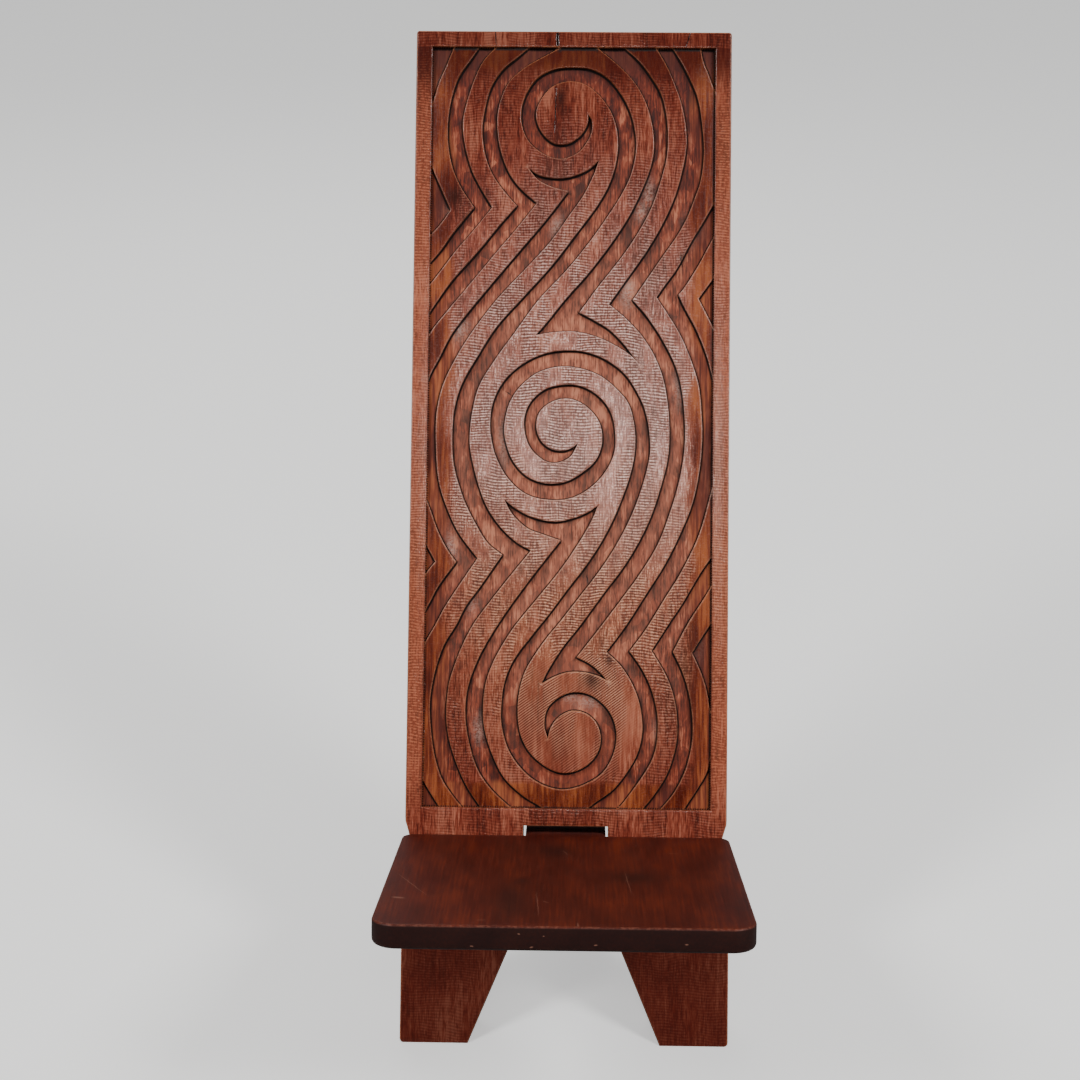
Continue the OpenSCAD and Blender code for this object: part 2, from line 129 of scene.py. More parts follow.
# Edges of each groove, every edge a smooth curve through its points: x from
# the middle, and height above the panel's lower edge
GROOVES = {
    # Scroll round the upper whorl, down the left side and out at the bottom
    "top_scroll": [[[16, 744], [15, 733], [8, 721], [-5, 712], [-20, 712], [-33, 723], [-40, 740],
        [-37, 756], [-25, 772], [-9, 779], [8, 778], [23, 769], [36, 754], [44, 738], [48, 719],
        [47, 696], [40, 670], [26, 644], [2, 611], [-22, 579], [-52, 545], [-80, 513], [-100, 481],
        [-116, 452], [-124, 425], [-126, 396], [-124, 364], [-114, 330], [-101, 303], [-87, 281],
        [-71, 268]], [[-71, 268], [-94, 234], [-109, 213], [-119, 193], [-131, 173], [-139, 151],
        [-144, 128], [-146, 108], [-145, 88], [-141, 58], [-133, 32], [-121, 13], [-108, -3]], [
        [-108, -3], [-88, -3]], [[-88, -3], [-104, 20], [-116, 45], [-125, 73], [-128, 98],
        [-126, 128], [-120, 150], [-112, 171], [-101, 193], [-87, 213], [-64, 243], [-40, 273]], [
        [-40, 273], [-56, 282], [-73, 298], [-87, 318], [-97, 343], [-105, 374], [-107, 396],
        [-104, 424], [-97, 450], [-81, 477], [-60, 507], [-35, 542], [-5, 575], [18, 604], [38, 633],
        [55, 661], [64, 683], [68, 708], [66, 730], [60, 750], [50, 768], [36, 784], [19, 793],
        [0, 795], [-20, 793], [-38, 784], [-50, 768], [-56, 749], [-55, 730], [-47, 713], [-31, 700],
        [-13, 695], [4, 701], [14, 712], [20, 725], [20, 737], [16, 744]]],
    # Scroll from the middle whorl down to the lower whorl
    "long_scroll": [[[-20, 73], [-24, 88], [-21, 105], [-9, 117], [7, 123], [25, 120], [41, 108],
        [50, 93], [53, 75], [49, 56], [39, 39], [24, 28], [5, 21], [-13, 21], [-33, 29], [-50, 44],
        [-62, 62], [-69, 85], [-70, 105], [-67, 132], [-57, 157], [-38, 183], [-20, 206], [-1, 232],
        [15, 253], [31, 277], [45, 303], [55, 327], [64, 353], [69, 378], [69, 403], [63, 429],
        [50, 446], [31, 461], [8, 469], [-14, 470], [-36, 463], [-54, 448], [-65, 430], [-70, 407],
        [-68, 388], [-60, 368], [-45, 352], [-25, 345], [-4, 347], [15, 358], [28, 371], [34, 388],
        [33, 405], [26, 419], [12, 431], [-4, 436], [-20, 432], [-32, 422], [-36, 407], [-31, 391],
        [-20, 382], [-7, 380], [3, 384], [9, 389]], [[9, 389], [6, 382], [0, 373], [-13, 367],
        [-27, 369], [-41, 381], [-48, 397], [-49, 416], [-42, 433], [-27, 446], [-8, 451], [10, 450],
        [28, 441], [42, 425], [48, 405], [48, 380], [39, 359], [24, 342], [4, 330], [-20, 327],
        [-46, 333], [-66, 350], [-79, 373], [-85, 397], [-85, 421], [-79, 442], [-66, 461], [-47, 476],
        [-26, 485], [-4, 488], [18, 486], [40, 477], [60, 461], [76, 435], [83, 413], [86, 389],
        [85, 372], [80, 350], [72, 325], [62, 301], [48, 275], [31, 249], [12, 224], [-7, 199],
        [-26, 175], [-44, 146], [-51, 121], [-52, 98], [-49, 78], [-40, 60], [-25, 46], [-8, 38],
        [8, 39], [23, 47], [33, 60], [36, 75], [31, 91], [19, 101], [4, 103], [-9, 96], [-17, 85],
        [-20, 73]]],
    # Groove from the top, right of the upper whorl, over the middle whorl
    "inner_right": [[[20, 821], [42, 803], [62, 783], [75, 763], [83, 741], [87, 716], [85, 693],
        [76, 666], [61, 634], [42, 604], [19, 573], [-6, 544], [-24, 521], [-38, 504]], [[-38, 504],
        [-20, 507], [4, 508], [29, 502], [52, 491], [65, 482], [74, 472]], [[74, 472], [67, 482],
        [57, 495], [42, 510], [26, 520], [9, 529]], [[9, 529], [29, 557], [52, 587], [70, 614],
        [85, 643], [95, 673], [101, 698], [102, 723], [100, 744], [95, 765], [85, 783], [70, 803],
        [50, 821]]],
    # Groove from the top, right of the upper two whorls, over the lower whorl
    "outer_right": [[[86, 821], [93, 810], [102, 793], [110, 774], [117, 753], [121, 731], [122, 711],
        [118, 685], [109, 653], [95, 622], [78, 593], [58, 564], [40, 538]], [[40, 538], [57, 524],
        [75, 505], [88, 485], [98, 461], [104, 431], [106, 398], [104, 370], [96, 338], [86, 308],
        [72, 279], [56, 253], [38, 229], [13, 194], [-5, 171], [-20, 147], [-28, 131]], [[-28, 131],
        [-14, 139], [1, 144], [18, 144], [33, 140], [43, 135]], [[43, 135], [35, 144], [24, 153],
        [10, 160]], [[10, 160], [33, 190], [56, 221], [76, 249], [95, 281], [108, 316], [117, 348],
        [122, 378], [123, 405], [120, 441], [113, 470], [100, 497], [83, 523], [66, 543]], [[66, 543],
        [80, 564], [96, 588], [113, 613], [124, 634], [132, 655], [138, 674], [141, 703], [139, 733],
        [134, 762], [125, 784], [114, 805], [104, 821]]],
    # Groove down the right side, with two points
    "right_chevrons": [[[156, 654], [150, 645], [140, 627], [127, 605], [113, 578], [99, 558], [91, 546]], [
        [91, 546], [103, 528], [117, 505], [129, 477], [137, 451], [140, 423], [141, 393], [138, 358],
        [131, 325], [119, 294], [103, 261], [84, 230], [62, 195], [41, 166]], [[41, 166], [56, 152],
        [69, 132], [77, 110], [80, 85], [76, 62], [66, 42], [50, 21], [30, 6], [18, -3]], [[18, -3],
        [52, -3]], [[52, -3], [63, 10], [82, 37], [92, 56], [96, 75], [96, 100], [90, 125], [80, 147],
        [66, 167]], [[66, 167], [84, 192], [102, 222], [118, 248], [134, 280], [143, 305], [150, 332],
        [156, 353]], [[156, 353], [156, 443]], [[156, 443], [150, 468], [144, 488], [134, 512],
        [122, 534], [115, 549]], [[115, 549], [122, 558], [136, 581], [147, 602], [156, 619]]],
    # Groove round the lower whorl on the right
    "lower_right": [[[156, 273], [149, 264], [139, 249], [121, 218], [106, 195], [89, 168]], [
        [89, 168], [105, 141], [114, 115], [117, 88], [115, 65], [107, 39], [94, 17], [78, -3]], [
        [78, -3], [96, -3]], [[96, -3], [104, 5], [116, 21], [127, 45], [133, 73], [133, 98],
        [129, 124], [122, 146], [112, 167]], [[112, 167], [127, 196], [142, 220], [156, 243]]],
    # Groove left of the upper whorl
    "inner_left": [[[-44, 821], [-60, 807], [-77, 792], [-89, 773], [-95, 751], [-98, 727], [-95, 701],
        [-87, 679], [-74, 660], [-60, 644]], [[-60, 644], [-78, 623], [-102, 593], [-128, 563],
        [-145, 539], [-156, 522]], [[-156, 522], [-156, 497]], [[-156, 497], [-147, 512], [-134, 528],
        [-107, 561], [-82, 592], [-58, 621], [-38, 647]], [[-38, 647], [-57, 664], [-70, 683],
        [-79, 709], [-82, 735], [-79, 757], [-70, 778], [-52, 795], [-29, 809], [-8, 821]]],
    # Groove nearest the left border at the top
    "outer_left": [[[-100, 821], [-111, 804], [-124, 784], [-131, 763], [-135, 739], [-135, 713],
        [-130, 686], [-120, 663], [-106, 642]], [[-106, 642], [-128, 614], [-142, 594], [-156, 578]], [
        [-156, 578], [-156, 553]], [[-156, 553], [-143, 570], [-125, 594], [-105, 618], [-86, 642]], [
        [-86, 642], [-97, 660], [-108, 681], [-116, 708], [-119, 733], [-115, 756], [-106, 784],
        [-96, 804], [-80, 821]]],
    # Groove from under the upper whorl to the left border, with a point below
    "left_chevron": [[[-49, 686], [-35, 677], [-15, 674], [2, 677], [17, 684], [28, 694]], [[28, 694],
        [23, 679], [12, 656], [-3, 634], [-24, 604], [-50, 575], [-80, 542], [-108, 504], [-126, 473],
        [-137, 448], [-143, 418], [-143, 383], [-140, 349], [-132, 322], [-118, 292], [-97, 264]], [
        [-97, 264], [-117, 234], [-131, 212], [-141, 193], [-150, 177], [-156, 165]], [[-156, 165],
        [-156, 201]], [[-156, 201], [-147, 218], [-138, 235], [-120, 260]], [[-120, 260], [-130, 274],
        [-140, 293], [-149, 317], [-156, 333]], [[-156, 333], [-156, 445]], [[-156, 445], [-150, 462],
        [-141, 479], [-129, 503], [-111, 528], [-86, 559], [-58, 593], [-29, 628], [-5, 660]], [
        [-5, 660], [-21, 664], [-37, 672], [-49, 686]]],
    # Groove from under the middle whorl round the lower whorl
    "lower_left": [[[-70, 328], [-56, 317], [-37, 308], [-15, 304], [4, 308], [19, 314], [31, 322]], [
        [31, 322], [24, 305], [11, 282], [-9, 252], [-36, 218], [-56, 193], [-70, 171], [-80, 151],
        [-87, 129], [-89, 103], [-87, 82], [-79, 57], [-66, 32], [-47, 14], [-29, 3], [-18, -3]], [
        [-18, -3], [-54, -3]], [[-54, -3], [-62, 3], [-81, 21], [-95, 42], [-104, 70], [-108, 98],
        [-106, 125], [-97, 153], [-82, 182], [-60, 216], [-33, 253], [-9, 284]], [[-9, 284],
        [-27, 290], [-45, 297], [-61, 312], [-70, 328]]],
    "pocket_upper_left": [[[-156, 698], [-150, 682], [-139, 657], [-131, 639]], [[-131, 639],
        [-143, 622], [-156, 608]], [[-156, 608], [-156, 698]]],
    "pocket_lower_left": [[[-156, 285], [-148, 271], [-142, 260]], [[-142, 260], [-148, 253],
        [-156, 241]], [[-156, 241], [-156, 285]]],
    "pocket_upper_right": [[[156, 575], [150, 565], [136, 545]], [[136, 545], [148, 522], [156, 505]], [
        [156, 505], [156, 575]]],
    "pocket_lower_right": [[[156, 204], [150, 195], [138, 176], [132, 166]], [[132, 166], [140, 149],
        [147, 129], [151, 108], [156, 98]], [[156, 98], [156, 204]]],
    "corner_top_left": [[[-128, 821], [-136, 800], [-145, 779], [-150, 762], [-156, 743]], [
        [-156, 743], [-156, 821]], [[-156, 821], [-128, 821]]],
    "corner_top_right": [[[136, 821], [139, 804], [145, 789], [151, 773], [156, 761]], [[156, 761],
        [156, 821]], [[156, 821], [136, 821]]],
    "corner_bottom_left": [[[-156, 37], [-150, 25], [-140, 9], [-132, -3]], [[-132, -3], [-156, -3]], [
        [-156, -3], [-156, 37]]],
    "corner_bottom_right": [[[156, 63], [151, 51], [148, 39], [139, 23], [126, 3], [122, -3]], [
        [122, -3], [156, -3]], [[156, -3], [156, 63]]],
}

# Facets burnished smooth, with a painted glint: middle x and height, and half width and height
GLINT_FACETS = [
    (-145, 1033, 7, 14), (-133, 884, 8, 9), (82, 906, 6, 16), (74, 886, 6, 10), (130, 868, 9, 16),
    (-58, 935, 7, 14), (27, 362, 17, 8), (2, 366, 8, 6), (140, 420, 6, 14), (-128, 520, 8, 18),
    (95, 640, 6, 26), (-70, 640, 6, 24), (-104, 470, 7, 16), (118, 700, 7, 22), (148, 980, 5, 22),
    (-120, 760, 10, 14), (60, 800, 8, 18), (-16, 868, 7, 12), (100, 330, 7, 14), (-92, 330, 7, 14),
]

# Dark stains on the back, laid out in the same way
STAINS = [
    (-14, 1009, 6, 14), (26, 383, 10, 11), (44, 405, 4, 5), (-128, 900, 6, 9), (119, 836, 3, 5),
]

# Cracks and chips in the back: where each starts and ends, and its width
CRACKS = [
    (-17, 1088, -16.5, 1058, 3.4), (-17.5, 1024, -19, 968, 1.3), (-84, 1086, -83, 1062, 1.2),
    (127, 1084, 121, 1064, 1.2), (-70, 693, -61, 686, 1.6), (20, 499, 22, 485, 1.5),
    (117, 840, 120, 824, 2.0), (127, 484, 129, 470, 1.5),
]

# Pale nicks on the seat's front face, by x and height above its top edge
NICKS = [
    (-31, -20, -27, -19, 1.8), (-42, -7, -39, -7.5, 1.6), (-85, -19, -81, -19.5, 1.6),
    (27, -17, 31, -16.5, 1.6), (109, -15, 113, -15, 1.6), (-19, -9, -17, -9, 1.4),
]

# Stains on the seat, and scratches, by x and distance behind the seat line
SEAT_STAINS = [(-50, -228, 14, 55), (-42, -168, 7, 14), (-10, -60, 22, 26), (70, -150, 26, 22)]
SCRATCHES = [
    (-166, -138, -125, -222, 1.0), (-163, -221, -147, -225, 6.0), (-80, -287, -68, -287, 1.6),
    (-26, -190, -21, -282, 0.9), (-20, -227, -12, -234, 1.4), (-1, -54, 4, -74, 0.9),
    (14, -290, 15, -303, 1.6), (60, -120, 66, -210, 0.8), (104, -60, 120, -64, 0.9),
]
MARK_DEPTH = 12

# finish of the wood

# Rows of marks across the back: their slope, how far they wander, and their pitch
SAW_ROWS = (0.04, 12.0, 3.05)
SCRATCH_ROWS = (-0.7, 5.0, 2.9)
# Lower whorl, where scratches take the place of the saw rows
WHORL, WHORL_R = (4, 340), 78
# Patch rubbed pale by backs and given a painted sheen: its middle and half sizes
RUBBED_SHEEN, RUBBED_SHEEN_HALF = (10, 610), (200, 330)
# Heights between which the pale wear and painted sheen turn from warm to cool
WARM_TO, COOL_FROM = 470, 640
# Height from which the wood turns darker towards the top, and heights between which it darkens most
DARKER_FROM, DARKEST_FROM, DARKEST_TO = 800, 1010, 1050
# Heights between which the feet's redness and painted shade from the seat fade out
FEET_SHADE_TO, FEET_SHADE_END = 150, 235
# Width and height of the chips that the gouge left
CHIP_W, CHIP_H = 9, 15

FACE_TONES = [(0.41, "#45120a"), (0.47, "#71281a"), (0.53, "#924632"), (0.59, "#b86e55")]
FLOOR_TONES = [(0.39, "#350a06"), (0.465, "#64200f"), (0.54, "#903a21"), (0.62, "#c87757")]
RIM_TONES = [(0.42, "#4f160a"), (0.5, "#7b351d"), (0.58, "#aa5c32")]
SEAT_TONES = [(0.36, "#3a0e07"), (0.5, "#4f180d"), (0.64, "#692510")]
# Pale colours of the rubbed middle, and near-white colours of its painted sheen
COOL_PALE, WARM_PALE = "#df9a87", "#cd805d"
COOL_SHEEN, WARM_SHEEN = "#fbd2c3", "#efb08c"
ROW_CREST, ROW_TROUGH = "#ae6650", "#4c1a0f"
# Painted sheen on the floors, painted glints on the facets, wear on the borders, and wear with a painted
# highlight on the edges
FLOOR_SHEEN, FACET_GLINT, BORDER_WEAR, EDGE_WEAR_AND_HIGHLIGHT = "#cb8f74", "#c09a8c", "#d07a58", "#b06a45"
# Colours of dark fibres, of the painted shade and grime in the corners, and of soaked stains
FIBRE, SHADE_AND_GRIME_TONE, SOAKED = "#40160d", "#100302", "#2a0f0a"
# Colour that darkens towards the top, and redness with painted shade for the feet
TOP_DARK, FEET_RED_AND_SHADE = "#430f07", "#5f190a"
SEAT_SOAKED, SEAT_SIDE, SEAT_SCRATCH, SEAT_EDGE = "#1c0d0a", "#1a0a08", "#a0705c", "#88503e"
SEEN_FLOOR, PLAIN_FLOOR = "#e6e6e4", "#8a8a8a"

# camera and light, m

CAMERA_AT = (0.00565, -1.82567, 1.37187)
YAW, PITCH, ROLL = -0.01944, 0.45172, -0.00216
FLOOR_HALF = 40.0
FLOOR_GLOW = 0.6
ROOM_LOW, ROOM_HIGH, ROOM_SEEN = 0.3, 0.18, 0.6


def aim(obj, place, forward, right):
    """Puts obj at place, in metres, looking along forward with its x axis along right."""
    up = np.cross(right, forward)
    turn = np.column_stack([right, up, -np.asarray(forward)])
    obj.matrix_world = Matrix.Translation(Vector(place)) @ Matrix(turn.tolist()).to_4x4()


ahead = np.array([np.sin(YAW) * np.cos(PITCH), np.cos(YAW) * np.cos(PITCH), -np.sin(PITCH)])
level = np.array([np.cos(YAW), -np.sin(YAW), 0.0])
below = np.cross(ahead, level)

lens = bpy.data.cameras.new("camera")
lens.sensor_width = 36
lens.lens = 65.0
camera = bpy.data.objects.new("camera", lens)
bpy.context.collection.objects.link(camera)
aim(camera, CAMERA_AT, ahead, level * np.cos(ROLL) + below * np.sin(ROLL))
bpy.context.scene.camera = camera


def lamp(name, place, target, size, watts, colour=(1, 1, 1)):
    """A soft rectangular lamp at place, facing target, both in metres."""
    data = bpy.data.lights.new(name, "AREA")
    data.shape = "RECTANGLE"
    data.size, data.size_y = size
    data.energy = watts
    data.color = colour
    obj = bpy.data.objects.new(name, data)
    bpy.context.collection.objects.link(obj)
    forward = np.subtract(target, place) / np.linalg.norm(np.subtract(target, place))
    right = np.cross(forward, (0, 0, 1)) / np.linalg.norm(np.cross(forward, (0, 0, 1)))
    aim(obj, place, forward, right)


# The window's weak mirror image falls on the middle of the back. The others stay clear of it
lamp("high_left", (-3.5, -2.1, 3.9), (0, 0.1, 0.5), (1.3, 1.3), 148)
lamp("high_right", (3.5, -2.1, 3.9), (0, 0.1, 0.5), (1.3, 1.3), 165)
lamp("window", (0.12, -2.75, 2.48), (0, 0.1, 0.57), (0.5, 0.25), 10, (1.0, 0.86, 0.78))
lamp("rear", (-0.6, 2.6, 2.4), (0, 0.1, 0.4), (1.6, 1.2), 20)

# materials

SMOOTH = {"interpolation_type": "SMOOTHSTEP"}


def hexa(code):
    """Linear colour from an sRGB hex code."""
    srgb = np.array([int(code[i:i + 2], 16) for i in (1, 3, 5)]) / 255
    linear = np.where(srgb <= 0.04045, srgb / 12.92, ((srgb + 0.055) / 1.055) ** 2.4)
    return (*linear, 1.0)


def put(tree, kind, inputs=(), out=0, stops=(), **settings):
    """Adds a node with its settings, values or links by input, and a ramp's stops. Returns an output."""
    made = tree.nodes.new("ShaderNode" + kind)
    for key, value in settings.items():
        setattr(made, key, value)
    for key, value in dict(inputs).items():
        if isinstance(value, bpy.types.NodeSocket):
            tree.links.new(value, made.inputs[key])
        else:
            made.inputs[key].default_value = value
    for i, (place, code) in enumerate(stops):
        stop = made.color_ramp.elements[i] if i < 2 else made.color_ramp.elements.new(place)
        stop.position, stop.color = place, hexa(code)
    return made.outputs[out] if made.outputs else None


def product(tree, first, *others):
    """All the values multiplied together."""
    for value in others:
        first = put(tree, "Math", {0: first, 1: value}, operation="MULTIPLY")
    return first


def largest(tree, first, *others):
    """The largest of the values."""
    for value in others:
        first = put(tree, "Math", {0: first, 1: value}, operation="MAXIMUM")
    return first


def weighed(tree, *parts, start=0.0):
    """The start plus every part, each a value times its weight."""
    for value, weight in parts:
        start = put(tree, "Math", {0: value, 1: weight, 2: start}, operation="MULTIPLY_ADD")
    return start


def layered(tree, colour, *layers):
    """The colour with others laid over it in turn, each by its share."""
    for share, over in layers:
        over = hexa(over) if isinstance(over, str) else over
        colour = put(tree, "Mix", {0: share, 6: colour, 7: over}, data_type="RGBA", out=2)
    return colour


def blank(name):
    """A new material with an empty node tree. Returns the material and its tree."""
    made = bpy.data.materials.new(name)
    made.use_nodes = True
    made.node_tree.nodes.clear()
    return made, made.node_tree


def finish_wood(tree, colour, roughness, height, shine):
    """Oiled wood: a dielectric with its own roughness and strength of shine, and height in mm as bump."""
    bump = put(tree, "Bump", {"Height": height, "Distance": MM, "Strength": 1.0})
    shader = put(tree, "BsdfPrincipled", {
        "Base Color": colour, "Roughness": roughness, "Normal": bump,
        "IOR": 1.5, "Metallic": 0.0, "Specular IOR Level": shine,
    })
    put(tree, "OutputMaterial", {"Surface": shader})


def board_space(tree, turn, shift):
    """Coordinates of a board in mm: x across, y along its top face, z out of it."""
    place = put(tree, "TexCoord", out=3)
    return put(tree, "Mapping", {
        "Vector": place, "Scale": (1 / MM,) * 3, "Rotation": (turn, 0, 0), "Location": shift})


def stretched(tree, space, size, detail=2.0, rough=0.5, out=0):
    """Noise whose blotches measure size, three lengths in mm."""
    scaled = put(tree, "Mapping", {"Vector": space, "Scale": tuple(1 / s for s in size)})
    return put(tree, "TexNoise", {
        "Vector": scaled, "Scale": 1.0, "Detail": detail, "Roughness": rough}, out=out)


def swayed(tree, space, size, push):
    """The coordinates pushed about by noise: the size of its blotches, and how far they push, in mm."""
    sway = stretched(tree, space, (size,) * 3, detail=2, out=1)
    return put(tree, "VectorMath", {0: sway, 1: (push, push, 0.0), 2: space}, operation="MULTIPLY_ADD")


def ellipse(tree, space, middle, half):
    """Distance from the middle as a share of the half sizes: 0 there, 1 on the ellipse."""
    away = put(tree, "Mapping", {
        "Vector": space, "Location": (*middle, 0), "Scale": (*half, half[0])}, vector_type="TEXTURE")
    return put(tree, "VectorMath", {0: away}, out=1, operation="LENGTH")


def marks(tree, space, lines):
    """Thin straight marks, each from x, y to x, y with its width: 1 along the middle, 0 past the edge."""
    total = 0.0
    for x0, y0, x1, y1, width in lines:
        at = put(tree, "Mapping", {
            "Vector": space,
            "Location": ((x0 + x1) / 2, (y0 + y1) / 2, 0),
            "Rotation": (0, 0, np.arctan2(y1 - y0, x1 - x0)),
            "Scale": (np.hypot(x1 - x0, y1 - y0) / 2, width / 2, MARK_DEPTH),
        }, vector_type="TEXTURE")
        away = put(tree, "VectorMath", {0: at}, out=1, operation="LENGTH")
        mark = put(tree, "MapRange", {0: away, 1: 0.5, 2: 1.0, 3: 1.0, 4: 0.0})
        total = largest(tree, mark, total)
    return total


def mark_rows(tree, space, x, y):
    """Rows of marks as waves from 0 to 1, and the share of the lower whorl.

    Saw rows cross the board. On the lower whorl they are sanded away, and finer
    scratches rise to the right.
    """
    wander = stretched(tree, space, (45, 60, 45), detail=1)
    waves = []
    for slope, sway, pitch in (SAW_ROWS, SCRATCH_ROWS):
        along = put(tree, "Math", {0: x, 1: slope, 2: y}, operation="MULTIPLY_ADD")
        along = put(tree, "Math", {0: wander, 1: sway, 2: along}, operation="MULTIPLY_ADD")
        turns = product(tree, along, 2 * np.pi / pitch)
        waves.append(put(tree, "Math", {0: turns}, operation="SINE"))
    whorl = ellipse(tree, space, WHORL, (WHORL_R, WHORL_R))
    whorl = put(tree, "MapRange", {0: whorl, 1: 0.85, 2: 1.05, 3: 1.0, 4: 0.0})
    rows = put(tree, "Mix", {0: whorl, 2: waves[0], 3: waves[1]})
    return put(tree, "MapRange", {0: rows, 1: -0.5, 2: 0.6}, **SMOOTH), whorl


def border_wear(tree, x, y, row, front):
    """How far hands have rubbed the side borders: most on the rows' crests, fading at both ends."""
    side = put(tree, "Math", {0: x}, operation="ABSOLUTE")
    side = put(tree, "MapRange", {0: side, 1: PANEL_X, 2: PANEL_X + 2, 4: 0.7})
    foot = put(tree, "MapRange", {0: y, 1: PANEL_BOTTOM - 20, 2: PANEL_BOTTOM + 40})
    head = put(tree, "MapRange", {0: y, 1: PANEL_TOP - 90, 2: PANEL_TOP, 3: 1.0, 4: 0.0})
    crest = put(tree, "MapRange", {0: row, 3: 0.3})
    return product(tree, side, foot, head, crest, front)


def top_darkening(tree, y, front):
    """How much darker the wood is made: more towards the top, most above the scrolls, little on the top
    border.
    """
    deep = put(tree, "MapRange", {0: y, 1: DARKER_FROM, 2: PANEL_TOP, 4: 0.25})
    thick = put(tree, "MapRange", {0: y, 1: DARKEST_FROM, 2: DARKEST_TO, 4: 0.55}, **SMOOTH)
    border = put(tree, "MapRange", {0: y, 1: PANEL_TOP - 1, 2: PANEL_TOP, 3: 1.0, 4: 0.2})
    return put(tree, "Math", {0: deep, 1: product(tree, thick, border, front)}, operation="ADD")


def carved_wood():
    """African mahogany, band-sawn, carved by hand, stained and oiled.

    The uncut face keeps rows of saw marks crossed by fine grain, which break its
    shine into specks, and its middle is rubbed pale and given a painted sheen with
    painted glints. The grooves and the sloping rim are cut smooth, so they are
    darker and redder, with painted shade and grime in the corners and pale wear,
    partly a painted highlight, on the edges.
    """
    made, tree = blank("carved_wood")
    space = board_space(
        tree, LEAN - np.pi / 2, (0, -FOOT_Y * np.sin(LEAN), FOOT_Y * np.cos(LEAN)))
    x, y, z = (put(tree, "SeparateXYZ", {"Vector": space}, out=i) for i in range(3))
    groove, corner, worn, smooth, burnished, stained = (
        put(tree, "Attribute", attribute_name=name, out=2)
        for name in ("groove", "corner", "worn", "smooth", "burnished", "stained"))
    rows, whorl = mark_rows(tree, space, x, y)

    # Real fibres are 0.3 mm wide, too fine to show, so they are drawn 1.5 mm wide
    patch = stretched(tree, space, (50, 110, 50), detail=3)
    grain = stretched(tree, space, (4, 70, 4), detail=5, rough=0.62)
    thread = stretched(tree, space, (1.5, 13, 3), detail=2, rough=0.6)
    thread = put(tree, "Mix", {0: product(tree, whorl, 0.7), 2: thread, 3: 0.5})
    fleck = stretched(tree, space, (2.4, 2.0, 2), detail=3, rough=0.6)
    smear = stretched(tree, space, (14, 34, 14), detail=3, rough=0.6)
    streak = stretched(tree, space, (3, 60, 4), detail=4, rough=0.65)

    # The marks break into dashes, and lie in columns where the saw bit deeper
    dashes = stretched(tree, space, (3.4, 2.2, 5), detail=2)
    dashed = put(tree, "MapRange", {0: dashes, 1: 0.42, 2: 0.56}, **SMOOTH)
    column = stretched(tree, space, (30, 90, 30), detail=2)
    column = put(tree, "MapRange", {0: column, 1: 0.4, 2: 0.54, 3: 0.15}, **SMOOTH)
    uncut = put(tree, "Math", {0: 1.0, 1: smooth}, operation="SUBTRACT", use_clamp=True)
    bite = product(tree, column, uncut)
    row = product(tree, rows, largest(tree, dashed, whorl))
    sawn = product(tree, row, bite)
    trough = put(tree, "Math", {0: 1.0, 1: rows}, operation="SUBTRACT")
    trough = product(tree, trough, bite)

    # The sides, the ends and the rear were never rubbed or polished
    front = put(tree, "MapRange", {0: z, 1: -8.0, 2: -6.5})
    end = put(tree, "MapRange", {0: y, 1: BACK_LEN - 1.5, 2: BACK_LEN - 0.5, 3: 1.0, 4: 0.0})
    front = product(tree, front, end)

    # Uncut face, palest in the middle of the panel: rubbed pale by backs, and a painted sheen
    tone = weighed(tree, (grain, 0.33), (patch, 0.42), (thread, 0.25))
    face = put(tree, "ValToRGB", {"Fac": tone}, stops=FACE_TONES)
    middle = ellipse(tree, space, RUBBED_SHEEN, RUBBED_SHEEN_HALF)
    middle = put(tree, "MapRange", {0: middle, 1: 0.4, 2: 1.25, 3: 1.0, 4: 0.0}, **SMOOTH)
    uneven = put(tree, "MapRange", {0: smear, 1: 0.38, 2: 0.6, 3: 0.65, 4: 1.15})
    middle = product(tree, middle, front)
    middle = put(tree, "Math", {0: middle, 1: uneven}, operation="MULTIPLY", use_clamp=True)
    warm = put(tree, "MapRange", {0: y, 1: WARM_TO, 2: COOL_FROM, 3: 1.0, 4: 0.0})
    pale = layered(tree, hexa(COOL_PALE), (warm, WARM_PALE))
    sheen_colour = layered(tree, hexa(COOL_SHEEN), (warm, WARM_SHEEN))
    # Saw rows' crests pale, near white with the painted sheen in the middle; troughs dark
    crest = layered(tree, hexa(ROW_CREST), (middle, sheen_colour))
    light_row = put(tree, "MapRange", {0: middle, 3: 0.3, 4: 0.85})
    light_row = product(tree, light_row, sawn)
    dark_row = put(tree, "MapRange", {0: middle, 3: 0.4, 4: 0.75})
    dark_row = product(tree, dark_row, trough)
    # Painted glints: pale specks on the raised grain, strongest within the painted sheen
    speck = put(tree, "MapRange", {0: fleck, 1: 0.44, 2: 0.56})
    raised = put(tree, "MapRange", {0: thread, 1: 0.5, 2: 0.6})
    shining = put(tree, "MapRange", {0: middle, 3: 0.2, 4: 0.9})
    speck = product(tree, speck, raised, shining)
    face = layered(
        tree, face, (product(tree, middle, 0.38), pale), (light_row, crest), (speck, crest),
        (dark_row, ROW_TROUGH))

